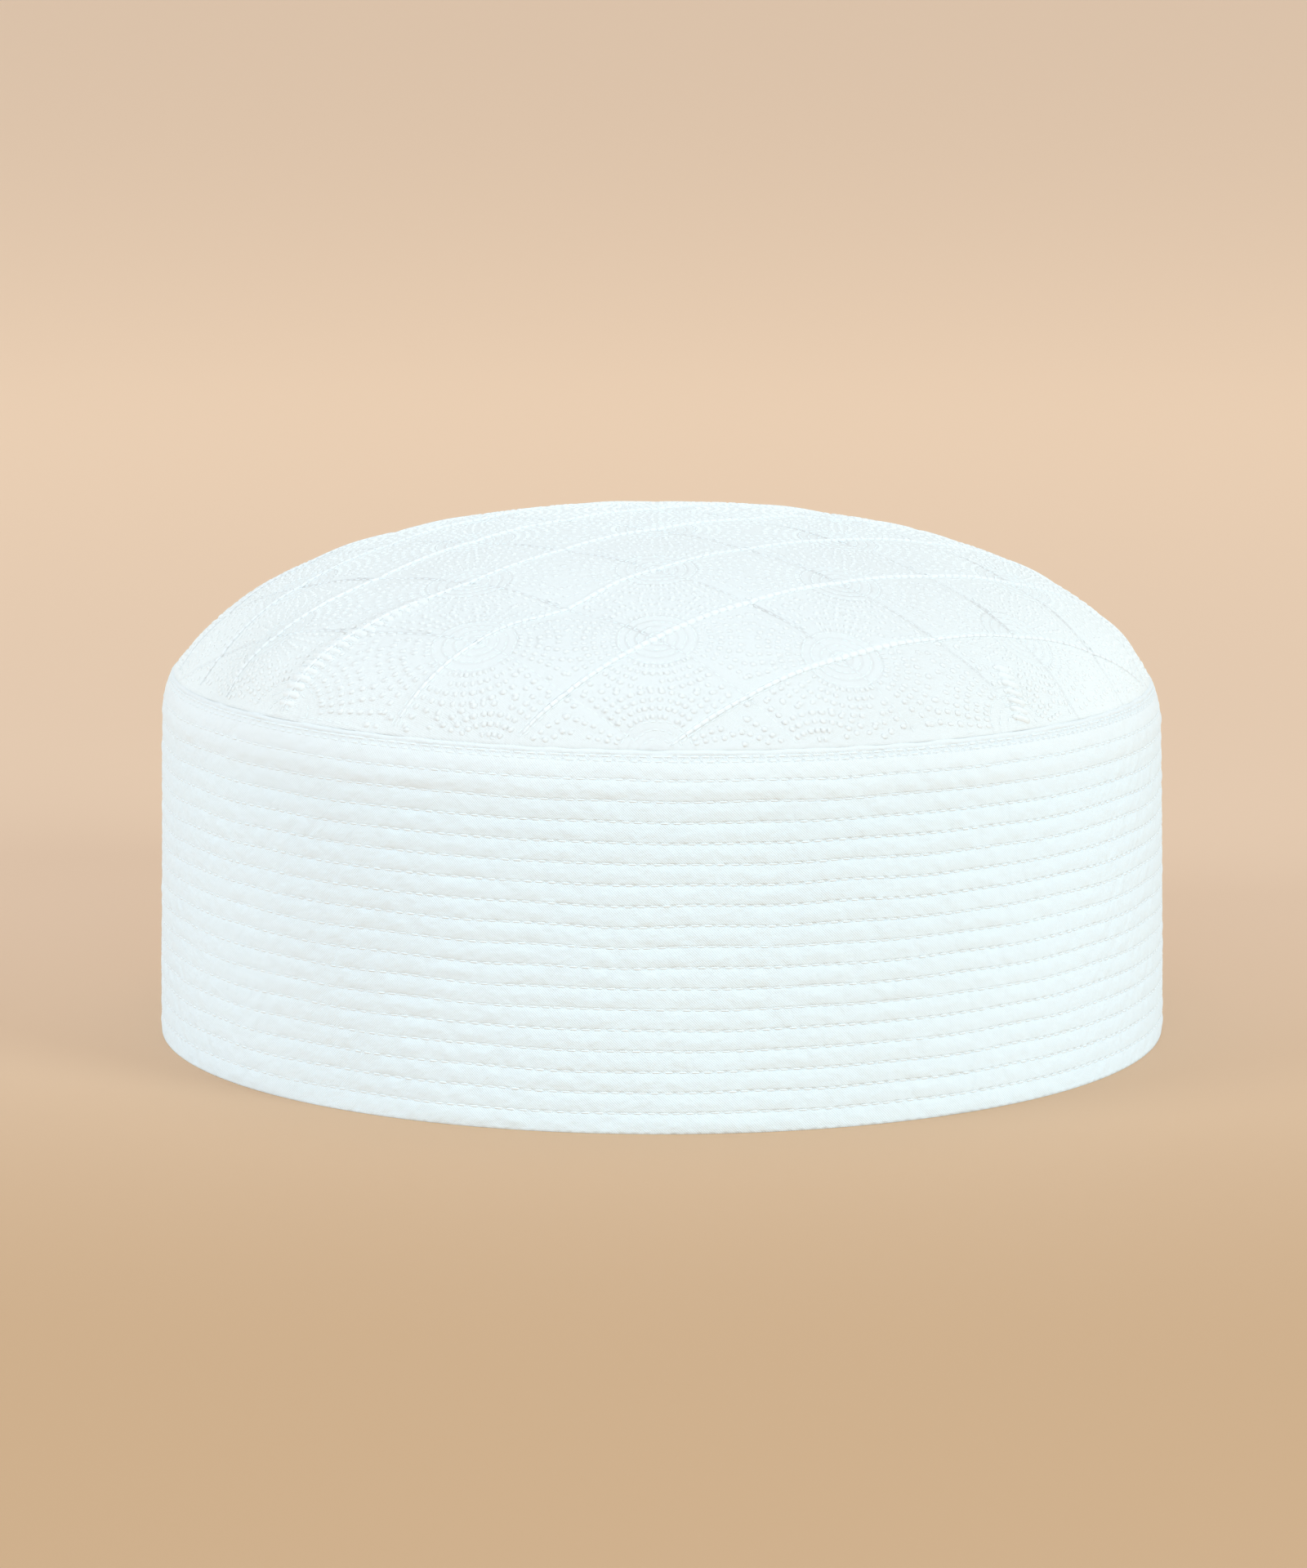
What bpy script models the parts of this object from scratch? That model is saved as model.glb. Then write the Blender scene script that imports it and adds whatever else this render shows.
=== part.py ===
# A white kufi cap: a corded band, a narrow piping on its top edge, and a domed crown
# crossed by a diamond lattice of raised tucks. It stands on its rim.
# Metres, +Z up, the origin on the floor under the cap's middle, the wearer's face at -Y.
import math

import bmesh
import bpy
import numpy as np
from mathutils import Matrix

# Driving sizes of the band
RIM_RADIUS = 0.0925        # over the ribs, at the rim
TOP_RADIUS = 0.0914        # over the ribs, at the band's top if it didn't turn in
BAND_HEIGHT = 0.0642       # rim to top edge, at the middle
BAND_WALL = 0.0032         # cord, padding and both cloths, over a rib
RIB_COUNT = 18
RIB_RELIEF = 0.0007        # depth of the stitched groove between two ribs
SHOULDER_HEIGHT = 0.0060   # the stretch below the top edge that turns in
SHOULDER_IN = 0.0013
TOP_TILT = 0.0020          # the top edge stands this much lower at +X than at -X

# Driving sizes of the piping
PIPING_DIAMETER = 0.0013
PIPING_INSET = 0.0001      # from the band's top edge in to the piping's outside

# Driving sizes of the crown
DOME_HEIGHT = 0.0303       # band's top edge to the middle of the crown
CROWN_WALL = 0.0022        # embroidered cloth on its padding
CROWN_OVER = 0.0004        # how far above the piping the crown's edge turns under
TUCK_DEPTH = 0.0050        # seam allowance that goes down inside the band
TUCK_WALL = 0.0016
DOME_SPREAD = 1.05         # radius of the dome's whole curve over its radius at the seam
DOME_ROUND_ACROSS = 2.217  # exponents of the dome's curve, across and up
DOME_ROUND_UP = 2.755

# Driving sizes of the lattice, measured in the flat cloth
LATTICE_ACROSS = 0.0327    # width of a diamond along X
LATTICE_ALONG = 0.0268     # its length along Y
LATTICE_X = -0.0010        # a crossing nearest to the cloth's middle
LATTICE_Y = 0.0082
TUCK_RIDGE = 0.0010        # width of a raised tuck
TUCK_RISE = 0.0004

GAP = 0.0003               # clearance between two pieces

# Fineness of the faceted solids
SIDES = 56
PIPING_SIDES = 6
PROFILE_POINTS = 400
INNER_RINGS = 8
RIB_POINTS = ((0.0, 0.0), (0.24, 1.0), (0.76, 1.0))   # share of the rib's height, share of the relief
SHOULDER_STEPS = 2         # of the plain wall inside

CLOTH_WHITE = (0.88, 0.93, 0.95, 1.0)
CROWN_WHITE = (0.90, 0.94, 0.95, 1.0)


def band_radius(share):
    """Radius over the ribs at a share of the band's height, with the shoulder that turns in."""
    radius = RIM_RADIUS + (TOP_RADIUS - RIM_RADIUS) * share
    above = share * BAND_HEIGHT - (BAND_HEIGHT - SHOULDER_HEIGHT)
    return radius - SHOULDER_IN * max(0.0, above / SHOULDER_HEIGHT) ** 2


TOP_EDGE_RADIUS = band_radius(1.0)


def settle(x, z):
    """Height of a point after the band's top edge has taken its tilt. The rim and the dome's middle stay."""
    if z <= BAND_HEIGHT:
        weight = z / BAND_HEIGHT
    else:
        weight = max(0.0, 1.0 - (z - BAND_HEIGHT) / DOME_HEIGHT)
    return z - weight * TOP_TILT / 2 * x / RIM_RADIUS


def dome_curve():
    """The dome's outer profile from its middle to the band's top edge: radius, height over that edge, arc length.

    It is part of a superellipse that is wider than the seam, so the crown leaves the seam leaning in."""
    full = DOME_SPREAD * TOP_EDGE_RADIUS
    radius = TOP_EDGE_RADIUS * np.sin(np.linspace(0.0, math.pi / 2, PROFILE_POINTS))
    rise = (1.0 - (radius / full) ** DOME_ROUND_ACROSS) ** (1.0 / DOME_ROUND_UP)
    height = DOME_HEIGHT * (rise - rise[-1]) / (1.0 - rise[-1])
    step = np.hypot(np.diff(radius), np.diff(height))
    return radius, height, np.concatenate(([0.0], np.cumsum(step)))


def solid_object(name, mesh_data, material, parent, height=0.0):
    """Gives the bmesh a named object at a height, with its points settled to the cap's tilt."""
    for vert in mesh_data.verts:
        vert.co.z = settle(vert.co.x, vert.co.z + height) - height
    bmesh.ops.recalc_face_normals(mesh_data, faces=mesh_data.faces)
    mesh = bpy.data.meshes.new(name)
    mesh_data.to_mesh(mesh)
    mesh_data.free()
    obj = bpy.data.objects.new(name, mesh)
    bpy.context.scene.collection.objects.link(obj)
    obj.location.z = height
    obj.parent = parent
    if material:
        mesh.materials.append(material)
    return obj


def turned(profile, closed):
    """A profile of (radius, height) points turned once round Z. A closed one is a ring's section."""
    bm = bmesh.new()
    verts = [bm.verts.new((radius, 0.0, height)) for radius, height in profile]
    pairs = list(zip(verts, verts[1:]))
    if closed:
        pairs.append((verts[-1], verts[0]))
    edges = [bm.edges.new(pair) for pair in pairs]
    bmesh.ops.spin(bm, geom=verts + edges, axis=(0, 0, 1), cent=(0, 0, 0), angle=2 * math.pi,
                   steps=SIDES, use_merge=True)
    bmesh.ops.remove_doubles(bm, verts=bm.verts, dist=1e-6)
    return bm


def cloth(name, colour, roughness):
    material = bpy.data.materials.new(name)
    material.use_nodes = True
    shader = material.node_tree.nodes["Principled BSDF"]
    shader.inputs["Base Color"].default_value = colour
    shader.inputs["Roughness"].default_value = roughness
    shader.inputs["Metallic"].default_value = 0.0
    material.diffuse_color = colour
    return material


def make_band(material, parent):
    """The corded side wall: a ring with a rib for each cord outside and a plain wall inside."""
    pitch = 1.0 / RIB_COUNT
    profile = []
    for rib in range(RIB_COUNT):
        for share_up, share_out in RIB_POINTS:
            share = (rib + share_up) * pitch
            radius = band_radius(share) - RIB_RELIEF * (1.0 - share_out)
            profile.append((radius, share * BAND_HEIGHT))
    profile.append((TOP_EDGE_RADIUS - RIB_RELIEF, BAND_HEIGHT))
    for step in range(SHOULDER_STEPS + 1):
        share = 1.0 - step / SHOULDER_STEPS * SHOULDER_HEIGHT / BAND_HEIGHT
        profile.append((band_radius(share) - BAND_WALL, share * BAND_HEIGHT))
    profile.append((RIM_RADIUS - BAND_WALL, 0.0))
    return solid_object("band", turned(profile, closed=True), material, parent)


def piping_centre():
    """Radius and height over the band's top edge of the middle of the piping's section."""
    radius = TOP_EDGE_RADIUS - PIPING_INSET - PIPING_DIAMETER / 2
    return radius, GAP + PIPING_DIAMETER / 2


def make_piping(material, parent):
    """The narrow folded strip that is sewn in between the band and the crown."""
    centre, height = piping_centre()
    section = []
    for side in range(PIPING_SIDES):
        angle = 2 * math.pi * (side + 0.5) / PIPING_SIDES
        section.append((centre + PIPING_DIAMETER / 2 * math.cos(angle),
                        height + PIPING_DIAMETER / 2 * math.sin(angle)))
    return solid_object("piping", turned(section, closed=True), material, parent, BAND_HEIGHT)


def crown_foot(edge_radius, edge_height):
    """Radius where the crown's turned edge meets the band's top, on a line that clears the piping by the gap."""
    centre, height = piping_centre()
    across, down = centre - edge_radius, height - edge_height
    reach = PIPING_DIAMETER / 2 + GAP
    heading = math.atan2(down, across) - math.asin(min(1.0, reach / math.hypot(across, down)))
    return edge_radius + (edge_height - GAP) / -math.sin(heading) * math.cos(heading)


def lattice_cuts():
    """The straight cuts of the flat cloth: for each line of the lattice its ridge, both its sides, and one
    between two lines. Each cut is a point, a direction across it, and whether it is a ridge."""
    cuts = []
    spacing = 1.0 / math.hypot(1.0 / LATTICE_ACROSS, 1.0 / LATTICE_ALONG)
    half_ridge = TUCK_RIDGE / 2 / spacing
    reach = math.ceil(TOP_EDGE_RADIUS * 1.2 / spacing) + 1
    for lean in (1.0, -1.0):
        across = (1.0 / LATTICE_ACROSS * spacing, lean / LATTICE_ALONG * spacing, 0.0)
        for line in range(-reach, reach):
            for offset in (-half_ridge, 0.0, half_ridge, 0.5):
                away = (line + offset) * spacing
                point = (LATTICE_X + across[0] * away, LATTICE_Y + across[1] * away, 0.0)
                cuts.append((point, across))
    return cuts


def ridge_rise(x, y):
    """Height of the raised tucks at a point of the flat cloth, a tent over each line of the lattice."""
    spacing = 1.0 / math.hypot(1.0 / LATTICE_ACROSS, 1.0 / LATTICE_ALONG)
    rise = 0.0
    for lean in (1.0, -1.0):
        line = (x - LATTICE_X) / LATTICE_ACROSS + lean * (y - LATTICE_Y) / LATTICE_ALONG
        away = abs(line - round(line)) * spacing
        rise = max(rise, TUCK_RISE * (1.0 - away / (TUCK_RIDGE / 2)))
    return rise


def skirt_loops(edge_radius, edge_height):
    """Radius and height of each loop that closes the crown under its edge."""
    tuck_radius = TOP_EDGE_RADIUS - BAND_WALL - GAP
    return ((crown_foot(edge_radius, edge_height), GAP), (tuck_radius, GAP), (tuck_radius, -TUCK_DEPTH))


def make_crown_block(material, parent):
    """The crown's outside: a flat round cloth cut along the lattice, laid over the dome, closed underneath."""
    radius, height, arc = dome_curve()
    edge_height = GAP + PIPING_DIAMETER + CROWN_OVER
    edge_arc = float(np.interp(-edge_height, -height, arc))
    edge_radius = float(np.interp(edge_arc, arc, radius))
    bm = bmesh.new()
    bmesh.ops.create_circle(bm, cap_ends=True, radius=edge_arc, segments=SIDES)
    for point, across in lattice_cuts():
        geometry = bm.verts[:] + bm.edges[:] + bm.faces[:]
        bmesh.ops.bisect_plane(bm, geom=geometry, plane_co=point, plane_no=across, dist=1e-6)
    bmesh.ops.remove_doubles(bm, verts=bm.verts, dist=TUCK_RIDGE * 0.3)

    # Lay the sheet over the dome, each tuck raised along the dome's own normal
    slope = np.arctan2(-np.gradient(height, arc), np.gradient(radius, arc))
    for vert in bm.verts:
        flat = math.hypot(vert.co.x, vert.co.y)
        lean = float(np.interp(flat, arc, slope))
        rise = ridge_rise(vert.co.x, vert.co.y) if flat < edge_arc - TUCK_RIDGE else 0.0
        out = float(np.interp(flat, arc, radius)) + rise * math.sin(lean)
        stretch = out / flat if flat > 1e-9 else 1.0
        up = float(np.interp(flat, arc, height)) + rise * math.cos(lean)
        vert.co = (vert.co.x * stretch, vert.co.y * stretch, up)

    # Turn the edge under, over the piping, onto the band and down inside it
    rim = [edge for edge in bm.edges if edge.is_boundary]
    before = edge_radius
    for loop_radius, loop_height in skirt_loops(edge_radius, edge_height):
        made = bmesh.ops.extrude_edge_only(bm, edges=rim)["geom"]
        for vert in (item for item in made if isinstance(item, bmesh.types.BMVert)):
            vert.co = (vert.co.x * loop_radius / before, vert.co.y * loop_radius / before, loop_height)
        rim = [item for item in made if isinstance(item, bmesh.types.BMEdge)]
        before = loop_radius
    bmesh.ops.edgeloop_fill(bm, edges=rim)
    return solid_object("crown", bm, material, parent, BAND_HEIGHT)


def make_crown_hollow(parent):
    """The cutter for the inside of the crown: the dome's curve moved in by the wall, and straight down the tuck."""
    radius, height, arc = dome_curve()
    slope = np.arctan2(-np.gradient(height, arc), np.gradient(radius, arc))
    inner_radius = radius - CROWN_WALL * np.sin(slope)
    inner_height = height - CROWN_WALL * np.cos(slope)
    tuck_inside = TOP_EDGE_RADIUS - BAND_WALL - GAP - TUCK_WALL
    start = float(np.interp(tuck_inside, inner_radius, arc))
    below = -TUCK_DEPTH - CROWN_WALL
    profile = [(0.0, below), (tuck_inside, below)]
    for ring in range(INNER_RINGS + 1):
        along = start * (1.0 - ring / INNER_RINGS)
        profile.append((float(np.interp(along, arc, inner_radius)), float(np.interp(along, arc, inner_height))))
    profile[-1] = (0.0, profile[-1][1])
    hollow = solid_object("crown_hollow", turned(profile, closed=False), None, parent, BAND_HEIGHT)
    hollow.hide_render = True
    hollow.display_type = "WIRE"
    return hollow


def make_crown(material, parent):
    """The domed top: the outside block with the hollow cut from it."""
    crown = make_crown_block(material, parent)
    cut = crown.modifiers.new("hollow", "BOOLEAN")
    cut.operation = "DIFFERENCE"
    cut.solver = "EXACT"
    cut.object = make_crown_hollow(parent)
    return crown


def main():
    for obj in list(bpy.data.objects):
        bpy.data.objects.remove(obj)
    root = bpy.data.objects.new("kufi_cap", None)
    root.matrix_world = Matrix.Identity(4)
    bpy.context.scene.collection.objects.link(root)
    make_band(cloth("corded cotton", CLOTH_WHITE, 0.85), root)
    make_piping(cloth("folded cotton", CLOTH_WHITE, 0.8), root)
    make_crown(cloth("embroidered cotton", CROWN_WHITE, 0.8), root)


main()
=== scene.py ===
# Dresses the kufi cap: the cloth of its corded band, the piping, the embroidered crown and their stitches.
# Metres, +Z up, the wearer's face at -Y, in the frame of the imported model.
import math

import bpy
import numpy as np
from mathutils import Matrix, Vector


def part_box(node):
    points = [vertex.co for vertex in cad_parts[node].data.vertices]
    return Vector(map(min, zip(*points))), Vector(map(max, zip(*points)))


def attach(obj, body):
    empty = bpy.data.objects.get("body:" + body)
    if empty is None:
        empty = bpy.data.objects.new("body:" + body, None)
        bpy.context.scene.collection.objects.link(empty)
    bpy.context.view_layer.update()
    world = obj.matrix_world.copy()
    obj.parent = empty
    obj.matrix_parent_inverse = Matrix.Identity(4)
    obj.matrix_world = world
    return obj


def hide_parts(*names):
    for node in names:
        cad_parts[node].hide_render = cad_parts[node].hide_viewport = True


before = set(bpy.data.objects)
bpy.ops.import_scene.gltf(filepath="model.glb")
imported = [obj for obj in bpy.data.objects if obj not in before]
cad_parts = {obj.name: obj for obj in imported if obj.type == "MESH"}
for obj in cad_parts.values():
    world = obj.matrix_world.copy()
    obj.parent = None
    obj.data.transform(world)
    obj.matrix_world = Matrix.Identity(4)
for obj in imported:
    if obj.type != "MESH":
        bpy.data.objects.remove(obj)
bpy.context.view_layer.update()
_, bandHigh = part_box("band")
_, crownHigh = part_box("crown")
print("frame loaded")

# The cap's main form, which every piece below is worked out from
form = {
    "tilt": 0.0020,             # the band's top edge stands this much lower at +X than at -X
    "topRadius": 0.0914,        # over the ribs at the top, if the shoulder didn't turn in
    "shoulderHeight": 0.0060,
    "shoulderIn": 0.0013,
    "domeSpread": 1.05,         # radius of the dome's whole curve over its radius at the seam
    "domeRoundAcross": 2.217,   # exponents of the dome's curve
    "domeRoundUp": 2.755,
    "gap": 0.0003,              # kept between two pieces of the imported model
}
rimRadius = bandHigh.x
edgeRadius = form["topRadius"] - form["shoulderIn"]
bandHeight = bandHigh.z - form["tilt"] / 2 * edgeRadius / rimRadius
domeHeight = crownHigh.z - bandHeight


# Height after the tilt: the top edge leans towards +X, the rim and the crown's middle stay
def settle(x, z):
    below = z / bandHeight
    above = np.maximum(0.0, 1.0 - (z - bandHeight) / domeHeight)
    return z - np.where(z <= bandHeight, below, above) * form["tilt"] / 2 * x / rimRadius


# A point at a radius and height, turned about the cap's axis and settled into the tilt
def roundAbout(radius, turn, height):
    x = radius * np.cos(turn)
    return np.stack((x, radius * np.sin(turn), settle(x, height)), -1)


# Radius over the ribs at a share of the band's height, straight and then turned in at the shoulder
def bandRadius(share):
    radius = rimRadius + (form["topRadius"] - rimRadius) * share
    above = np.maximum(0.0, (share - 1.0) * bandHeight / form["shoulderHeight"] + 1.0)
    return radius - form["shoulderIn"] * above ** 2


# The dome's profile, a stretch of a superellipse: radius, height over the band's top, arc length and slope
def domeCurve(samples=2000):
    radius = edgeRadius * np.sin(np.linspace(0.0, math.pi / 2, samples))
    share = radius / (form["domeSpread"] * edgeRadius)
    rise = (1.0 - share ** form["domeRoundAcross"]) ** (1.0 / form["domeRoundUp"])
    height = domeHeight * (rise - rise[-1]) / (1.0 - rise[-1])
    arc = np.concatenate(([0.0], np.cumsum(np.hypot(np.diff(radius), np.diff(height)))))
    slope = np.arctan2(-np.gradient(height, arc), np.gradient(radius, arc))
    return radius, height, arc, slope


domeRadius, domeRise, domeArc, domeSlope = domeCurve()


# A point of the flat cloth laid on the dome, as far from the middle along it as it was on the table,
# and lifted along the dome's normal
def onDome(x, y, lift):
    flat = np.hypot(x, y)
    lean = np.interp(flat, domeArc, domeSlope)
    radius = np.interp(flat, domeArc, domeRadius) + lift * np.sin(lean)
    height = np.interp(flat, domeArc, domeRise) + lift * np.cos(lean)
    return roundAbout(radius, np.arctan2(y, x), bandHeight + height)


# The dome's outward normal over a point of the flat cloth
def domeNormal(x, y):
    lean = np.interp(np.hypot(x, y), domeArc, domeSlope)
    turn = np.arctan2(y, x)
    return np.stack((np.sin(lean) * np.cos(turn), np.sin(lean) * np.sin(turn), np.cos(lean)), -1)


# Smooth unevenness between about -1 and 1: a sum of sines, whole waves round the cap so that it closes
def unevenRound(turn, height, seed, waves, around, up=180.0):
    draw = np.random.default_rng(seed)
    total = 0.0
    for _ in range(waves):
        count = draw.integers(*around)
        total = total + np.sin(count * turn + draw.uniform(-up, up) * height + draw.uniform(0, 2 * math.pi))
    return total / math.sqrt(waves)


# The same over a flat cloth, as waves in all directions of between two lengths
def unevenFlat(x, y, seed, waves=12, lengths=(0.015, 0.045)):
    draw = np.random.default_rng(seed)
    total = 0.0
    for _ in range(waves):
        heading, length = draw.uniform(0, math.pi), draw.uniform(*lengths)
        along = x * math.cos(heading) + y * math.sin(heading)
        total = total + np.sin(2 * math.pi * along / length + draw.uniform(0, 2 * math.pi))
    return total / math.sqrt(waves)


# Quads between neighbours of a grid of point numbers, facing the way of columns crossed with rows
def gridQuads(numbers, closeRows=False, closeColumns=False):
    if closeRows:
        numbers = np.vstack((numbers, numbers[:1]))
    if closeColumns:
        numbers = np.hstack((numbers, numbers[:, :1]))
    corners = (numbers[:-1, :-1], numbers[:-1, 1:], numbers[1:, 1:], numbers[1:, :-1])
    return np.stack(corners, -1).reshape(-1, 4)


# Puts an object of a mesh, lens or lamp into the scene
def addObject(name, data):
    thing = bpy.data.objects.new(name, data)
    bpy.context.scene.collection.objects.link(thing)
    return thing


# Makes a smooth-shaded object of points, quads and triangles, with a UV in metres of cloth. Where a closed
# grid of quads meets its own start, the UV goes on by the whole way round instead of jumping back
def makePiece(name, points, quads, triangles=None, uv=None, wayRound=None):
    mesh = bpy.data.meshes.new(name)
    corners = quads.ravel()
    starts = np.arange(len(quads)) * 4
    if triangles is not None:
        starts = np.concatenate((starts, len(corners) + np.arange(len(triangles)) * 3))
        corners = np.concatenate((corners, triangles.ravel()))
    mesh.vertices.add(len(points))
    mesh.vertices.foreach_set("co", np.ascontiguousarray(points, np.float32).ravel())
    mesh.loops.add(len(corners))
    mesh.loops.foreach_set("vertex_index", corners.astype(np.int32))
    mesh.polygons.add(len(starts))
    mesh.polygons.foreach_set("loop_start", starts.astype(np.int32))
    mesh.update(calc_edges=True)
    if uv is not None:
        place = uv[corners]
        if wayRound is not None:
            ofQuad = place.reshape(-1, 4, 2)
            place = ofQuad + (ofQuad.max(1, keepdims=True) - ofQuad > np.array(wayRound) / 2) * wayRound
        layer = mesh.uv_layers.new(name="cloth")
        layer.uv.foreach_set("vector", place.astype(np.float32).ravel())
    mesh.shade_smooth()
    print(name, "made,", len(mesh.loops) - 2 * len(mesh.polygons), "triangles")
    return addObject(name, mesh)


# A closed profile carried round the cap. Its cloth goes round at clothRadius. Across is how far along the
# profile each row of it is, and wayAcross is the whole way about it
def makeRing(name, radius, turn, height, clothRadius, across, wayAcross):
    numbers = np.arange(radius.size).reshape(radius.shape)
    uv = np.stack((turn * clothRadius + 0 * across, across + 0 * turn), -1).reshape(-1, 2)
    points = roundAbout(radius, turn, height).reshape(-1, 3)
    wayRound = (2 * math.pi * clothRadius, wayAcross)
    return makePiece(name, points, gridQuads(numbers, True, True), None, uv, wayRound)


# One grain, such as a stitch: two rings between two tips that go down into the cloth.
# Its length, width and height are each from -0.5 to 0.5, so that every grain can stretch it
def grainShape(sides, ringAt, tipDown=0.35):
    angle = 2 * math.pi * np.arange(sides) / sides + math.pi / 2
    ring = np.stack((np.zeros(sides), np.cos(angle) / 2, np.sin(angle) / 2), -1)
    tips = np.array([[-0.5, 0.0, -tipDown], [0.5, 0.0, -tipDown]])
    points = np.vstack((ring - (ringAt, 0, 0), ring + (ringAt, 0, 0), tips))
    near, far = np.arange(sides), np.arange(sides) + sides
    quads = np.stack((near, far, np.roll(far, -1), np.roll(near, -1)), -1)[:, ::-1]
    first = np.stack((near, np.roll(near, -1), np.full(sides, 2 * sides)), -1)[:, ::-1]
    last = np.stack((far, np.roll(far, -1), np.full(sides, 2 * sides + 1)), -1)
    return points, quads, np.vstack((first, last))


# A joined mesh of grains, each stretched between its two ends, with a width and a height
def makeGrains(name, starts, ends, normals, width, height, sides=5, uv=None, ringAt=0.30):
    points, quads, triangles = grainShape(sides, ringAt)
    along = ends - starts
    across = np.cross(normals, along)
    across /= np.linalg.norm(across, axis=1, keepdims=True)
    middle = (starts + ends) / 2
    placed = (middle[:, None] + points[:, :1] * along[:, None]
              + points[:, 1:2] * across[:, None] * width[:, None, None]
              + points[:, 2:] * normals[:, None] * height[:, None, None])
    offsets = (np.arange(len(starts)) * len(points))[:, None, None]
    if uv is not None:
        uv = np.repeat(uv, len(points), 0)
    return makePiece(name, placed.reshape(-1, 3), (quads[None] + offsets).reshape(-1, 4),
                     (triangles[None] + offsets).reshape(-1, 3), uv)


# Wraps a socket, so that shader maths is written as an expression
class Signal:
    def __init__(self, paint, socket):
        self.paint = paint
        self.socket = socket

    def math(self, operation, *values):
        return self.paint.node("ShaderNodeMath", {"operation": operation}, dict(enumerate(values)))

    def __add__(self, other):
        return self.math("ADD", self, other)

    def __sub__(self, other):
        return self.math("SUBTRACT", self, other)

    def __rsub__(self, other):
        return self.math("SUBTRACT", other, self)

    def __mul__(self, other):
        return self.math("MULTIPLY", self, other)

    def __truediv__(self, other):
        return self.math("DIVIDE", self, other)

    def __pow__(self, other):
        return self.math("POWER", self, other)

    def sine(self):
        return self.math("SINE", self)

    def size(self):
        return self.math("ABSOLUTE", self)

    def top(self, other):
        return self.math("MAXIMUM", self, other)

    # Runs from low to high while the value goes from start to end, and stays there
    def between(self, start, end, low=0.0, high=1.0):
        return self.paint.node("ShaderNodeMapRange", None, {"Value": self, "From Min": start, "From Max": end,
                                                            "To Min": low, "To Max": high})

    # How far it is from the nearest whole number
    def offWhole(self):
        return (self - self.math("ROUND", self)).size()

    # 1 where it is zero, falling in a round hump to 0 at the reach and beyond
    def hump(self, reach):
        share = self / reach
        return (1 - share * share).top(0.0)

    __radd__ = __add__
    __rmul__ = __mul__


# A material being made. node() takes a node's type, its settings and its sockets' values or links
class Paint:
    def __init__(self, name, colour, uniform):
        self.material = bpy.data.materials.new(name)
        self.material.use_nodes = True
        self.tree = self.material.node_tree
        self.shader = self.tree.nodes["Principled BSDF"]
        self.material.diffuse_color = (*colour, 1.0)
        for socket, value in uniform.items():
            self.shader.inputs[socket].default_value = value

    def node(self, kind, settings=None, inputs=None, output=0):
        made = self.tree.nodes.new(kind)
        for key, value in (settings or {}).items():
            setattr(made, key, value)
        for key, value in (inputs or {}).items():
            self.put(made.inputs[key], value)
        return Signal(self, made.outputs[output])

    def put(self, socket, value):
        if isinstance(value, Signal):
            self.tree.links.new(value.socket, socket)
        else:
            socket.default_value = value

    def uv(self):
        flat = self.node("ShaderNodeUVMap", {"uv_map": "cloth"})
        return [self.node("ShaderNodeSeparateXYZ", None, {0: flat}, side) for side in (0, 1)]

    def place(self):
        return self.node("ShaderNodeTexCoord", output="Object")

    # How far a place is along an axis: 0 is to the right and 1 to the back
    def onAxis(self, axis):
        return self.node("ShaderNodeSeparateXYZ", None, {0: self.place()}, axis)

    def noise(self, scale, detail):
        inputs = {"Vector": self.place(), "Scale": scale, "Detail": detail}
        return self.node("ShaderNodeTexNoise", None, inputs, "Fac")

    def mix(self, share, first, second):
        return self.node("ShaderNodeMix", {"data_type": "RGBA"}, {0: share, 6: first, 7: second}, 2)

    def finish(self, colour, roughness, height, strength, distance):
        inputs = {"Height": height, "Strength": strength, "Distance": distance}
        bump = self.node("ShaderNodeBump", None, inputs)
        self.put(self.shader.inputs["Base Color"], colour)
        self.put(self.shader.inputs["Roughness"], roughness)
        self.put(self.shader.inputs["Normal"], bump)
        return self.material


# How much of a cotton's bump is its weave and its yarn, how much of its mottling is slow cloud and how much
# yarn, and how much rougher its yarn makes it
cottonShares = {"weave": 0.3, "yarn": 0.6, "cloud": 0.6, "yarnShade": 0.4, "rougher": 0.12}


# Plain woven cotton: threads over and under, uneven yarn, a faint mottling of the white, and marks such as
# needle holes and creases, dented by a bump and painted darker as their shade. marks gives how deep a place
# is marked, from the piece's own cloth coordinates
def cottonPaint(name, look, marks=None):
    paint = Paint(name, look["colour"], {"Metallic": 0.0, "Sheen Weight": look["sheen"],
                                         "Sheen Roughness": 0.5, "Specular IOR Level": 0.25})
    u, v = paint.uv()
    turns = 2 * math.pi / look["threadPitch"]
    weave = (u * turns).sine() * (v * turns).sine()
    yarn = paint.noise(1.0 / look["yarnLength"], 3.0)
    cloud = paint.noise(1.0 / look["cloudLength"], 2.0)
    pucker = paint.noise(1.0 / look["puckerLength"], 2.0)
    shares = cottonShares
    height = weave * shares["weave"] + yarn * shares["yarn"] + pucker * look["pucker"]
    white = (*look["colour"], 1.0)
    if "topColour" in look:
        white = paint.mix(v.between(look["topFrom"], bandHeight), white, (*look["topColour"], 1.0))
    shade = paint.node("ShaderNodeMix", {"data_type": "RGBA", "blend_type": "MULTIPLY"},
                       {0: 1.0, 6: white, 7: (*look["shade"], 1.0)}, 2)
    colour = paint.mix(cloud * shares["cloud"] + yarn * shares["yarnShade"], shade, white)
    if marks:
        dentsAndShade = marks(u, v)
        # painted shade: the marks mix the colour towards a darker one
        colour = paint.mix(dentsAndShade * look["paintedShadeDark"], colour, (*look["paintedShadeColour"], 1.0))
        height = height - dentsAndShade * look["holeDepth"]
    roughness = yarn * shares["rougher"] + look["roughness"]
    return paint.finish(colour, roughness, height, look["bump"], look["bumpDepth"])


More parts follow.
